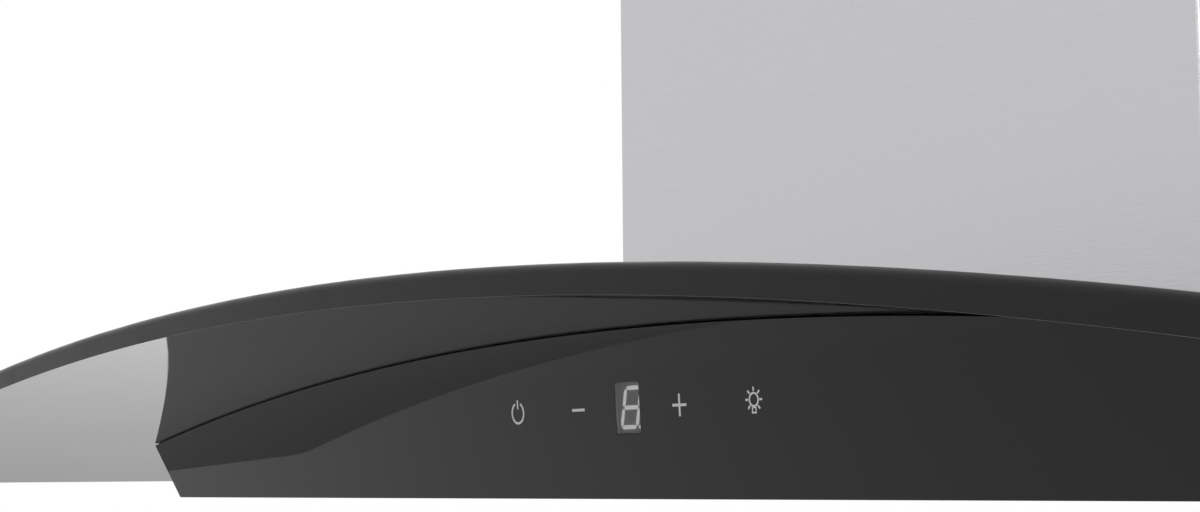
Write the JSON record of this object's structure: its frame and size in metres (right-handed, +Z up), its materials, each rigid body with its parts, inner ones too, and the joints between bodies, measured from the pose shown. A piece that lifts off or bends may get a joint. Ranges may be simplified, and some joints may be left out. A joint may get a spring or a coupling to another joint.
{
  "type": "range hood",
  "caption": "Wall-mounted range hood with a bent black glass canopy, arched glass fascia with touch controls, hinged grease filters, blower and telescoping steel chimney.",
  "frame": {"origin": "centre of the four wall holes in the back of the blower box, on the wall plane", "axes": "+X to the right seen from the front, +Y into the wall (the front faces -Y), +Z up"},
  "size_m": [0.9004, 0.504, 0.575],
  "materials": {
    "canopy_glass": "black glass, polished, rounded edge",
    "fascia_glass": "black back-printed glass, polished",
    "smoked_window": "smoked clear window",
    "lit_segments": "white diffusing plastic",
    "module_plastic": "dark moulded plastic",
    "brushed_steel": "stainless, brushed across the width",
    "body_steel": "stainless, brushed",
    "galvanised_steel": "galvanised sheet",
    "screw_steel": "bright zinc plated",
    "spring_steel": "spring steel, bright",
    "black_rubber": "matt black rubber",
    "foam_tape": "black foam tape",
    "pad_foam": "conductive foam",
    "circuit_board": "green solder mask",
    "tray_plastic": "pale moulded plastic",
    "aluminium_frame": "rolled aluminium, satin",
    "aluminium_mesh": "expanded aluminium mesh",
    "latch_plastic": "black moulded plastic",
    "lamp_lens": "frosted glass",
    "lamp_bezel": "satin chrome",
    "heat_sink": "die-cast aluminium",
    "blower_plastic": "dark grey moulded plastic",
    "collar_plastic": "black moulded plastic",
    "wheel_plastic": "grey moulded plastic",
    "motor_steel": "black enamel",
    "lamination_steel": "stacked laminations",
    "box_plastic": "off-white moulded plastic",
    "terminal_plastic": "natural moulded plastic",
    "capacitor_can": "white plastic can"
  },
  "bodies": {
    "hood": {"canopy_glass": "canopy_glass", "glass_seal": "black_rubber", "glass_clamps": "galvanised_steel", "clamp_pads": "black_rubber", "box_screws": "screw_steel", "body_shell": "body_steel", "underside_panel": "body_steel", "panel_screws": "screw_steel", "fascia_glass": "fascia_glass", "fascia_tape": "foam_tape", "display_lens": "smoked_window", "display_module": "module_plastic", "display_segments": "lit_segments", "control_board": "circuit_board", "touch_pads": "pad_foam", "control_tray": "tray_plastic", "filter_hinges": "spring_steel", "lamp_bezels": "lamp_bezel", "lamp_lenses": "lamp_lens", "lamp_bodies": "heat_sink", "blower_box": "galvanised_steel", "volute_left": "blower_plastic", "volute_right": "blower_plastic", "volute_screws": "screw_steel", "outlet_transition": "blower_plastic", "motor_can": "motor_steel", "motor_bearings": "screw_steel", "motor_stator": "lamination_steel", "motor_bracket": "galvanised_steel", "outlet_collar": "collar_plastic", "collar_screws": "screw_steel", "damper_pins": "screw_steel", "junction_box": "box_plastic", "terminal_block": "terminal_plastic", "cable_gland": "collar_plastic", "lamp_driver": "box_plastic", "capacitor": "capacitor_can", "lower_chimney": "brushed_steel", "chimney_brackets": "galvanised_steel", "chimney_screws": "screw_steel", "latch_keeper_left": "spring_steel", "latch_keeper_right": "spring_steel"},
    "filter_left": {"filter_frame_left": "aluminium_frame", "filter_mesh_left": "aluminium_mesh", "filter_pins_left": "screw_steel", "latch_spring_left": "spring_steel"},
    "filter_right": {"filter_frame_right": "aluminium_frame", "filter_mesh_right": "aluminium_mesh", "filter_pins_right": "screw_steel", "latch_spring_right": "spring_steel"},
    "latch_left": {"filter_latch_left": "latch_plastic"},
    "latch_right": {"filter_latch_right": "latch_plastic"},
    "flap_front": {"damper_flap_front": "collar_plastic"},
    "flap_rear": {"damper_flap_rear": "collar_plastic"},
    "wheel": {"impeller": "wheel_plastic", "motor_shaft": "screw_steel", "motor_rotor": "lamination_steel"},
    "chimney_top": {"upper_chimney": "brushed_steel", "top_bracket": "galvanised_steel", "top_bracket_screws": "screw_steel"}
  },
  "joints": [
    {"name": "chimney_slide", "type": "slide", "parent": "hood", "child": "chimney_top", "axis": [0, 0, 1], "range_m": [0, 0.3]},
    {"name": "wheel_spin", "type": "hinge", "parent": "hood", "child": "wheel", "pos_m": [0, -0.0918, -0.035], "axis": [1, 0, 0], "continuous": true},
    {"name": "flap_front_lift", "type": "hinge", "parent": "hood", "child": "flap_front", "pos_m": [0, -0.1235, 0.146], "axis": [-1, 0, 0], "range_deg": [0, 80]},
    {"name": "flap_rear_lift", "type": "hinge", "parent": "hood", "child": "flap_rear", "pos_m": [0, -0.1135, 0.146], "axis": [1, 0, 0], "range_deg": [0, 80]},
    {"name": "filter_left_swing", "type": "hinge", "parent": "hood", "child": "filter_left", "pos_m": [-0.157, -0.056, -0.1917], "axis": [1, 0, 0], "range_deg": [0, 80], "deforming": ["latch_keeper_left"]},
    {"name": "latch_left_pull", "type": "slide", "parent": "filter_left", "child": "latch_left", "axis": [0, 1, 0], "range_m": [0, 0.006], "stiffness_N_per_m": 300, "springref_m": -0.005, "deforming": ["latch_spring_left"]},
    {"name": "filter_right_swing", "type": "hinge", "parent": "hood", "child": "filter_right", "pos_m": [0.157, -0.056, -0.1917], "axis": [1, 0, 0], "range_deg": [0, 80], "deforming": ["latch_keeper_right"]},
    {"name": "latch_right_pull", "type": "slide", "parent": "filter_right", "child": "latch_right", "axis": [0, 1, 0], "range_m": [0, 0.006], "stiffness_N_per_m": 300, "springref_m": -0.005, "deforming": ["latch_spring_right"]}
  ]
}
